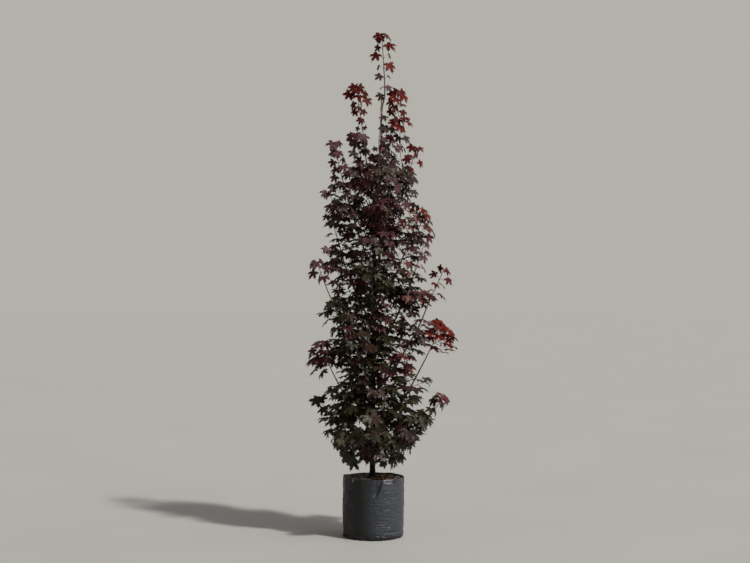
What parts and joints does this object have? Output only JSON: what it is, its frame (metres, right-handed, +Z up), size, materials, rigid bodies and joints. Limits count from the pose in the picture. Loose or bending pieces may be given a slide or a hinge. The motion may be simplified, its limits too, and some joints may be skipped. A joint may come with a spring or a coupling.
{
  "type": "potted columnar maple",
  "caption": "Tall narrow dark-leaved maple with a straight trunk and steep boughs, standing in a black planting bag filled with compost.",
  "frame": {"origin": "middle of the bag's flat underside, on the ground", "axes": "+Z up the trunk, -Y the side seen in the picture, +X to the right in the picture"},
  "size_m": [0.9619, 0.7502, 3.1159],
  "materials": {
    "bag_film": "black polythene, slightly glossy, creased",
    "compost": "matt crumbly bark compost",
    "bark": "matt grey-brown young bark",
    "dark_leaf": "satin, maroon-black",
    "young_leaf": "satin, deep red"
  },
  "bodies": {
    "root": {"bag": "bag_film", "soil": "compost", "trunk": "bark", "leader": "bark", "bough_right_1": "bark", "bough_right_2": "bark", "bough_right_3": "bark", "bough_right_4": "bark", "bough_right_5": "bark", "bough_right_6": "bark", "bough_right_7": "bark", "bough_right_8": "bark", "bough_left_1": "bark", "bough_left_2": "bark", "bough_left_3": "bark", "bough_left_4": "bark", "bough_left_5": "bark", "bough_left_6": "bark", "bough_left_7": "bark", "bough_left_8": "bark", "bough_front_1": "bark", "bough_front_2": "bark", "bough_front_3": "bark", "bough_front_4": "bark", "bough_front_5": "bark", "bough_back_1": "bark", "bough_back_2": "bark", "bough_back_3": "bark", "bough_back_4": "bark", "foliage_right_1": "dark_leaf", "foliage_right_2": "dark_leaf", "foliage_right_3": "dark_leaf", "foliage_right_4": "dark_leaf", "foliage_right_5": "dark_leaf", "foliage_right_6": "dark_leaf", "foliage_right_7": "young_leaf", "foliage_right_8": "young_leaf", "foliage_left_1": "dark_leaf", "foliage_left_2": "dark_leaf", "foliage_left_3": "dark_leaf", "foliage_left_4": "dark_leaf", "foliage_left_5": "dark_leaf", "foliage_left_6": "dark_leaf", "foliage_left_7": "young_leaf", "foliage_left_8": "young_leaf", "foliage_front_1": "dark_leaf", "foliage_front_2": "dark_leaf", "foliage_front_3": "dark_leaf", "foliage_front_4": "young_leaf", "foliage_front_5": "young_leaf", "foliage_back_1": "dark_leaf", "foliage_back_2": "dark_leaf", "foliage_back_3": "dark_leaf", "foliage_back_4": "young_leaf", "foliage_inner_1": "dark_leaf", "foliage_inner_2": "dark_leaf", "foliage_inner_3": "dark_leaf", "foliage_inner_4": "young_leaf", "foliage_inner_5": "young_leaf", "foliage_top": "young_leaf"}
  },
  "joints": []
}
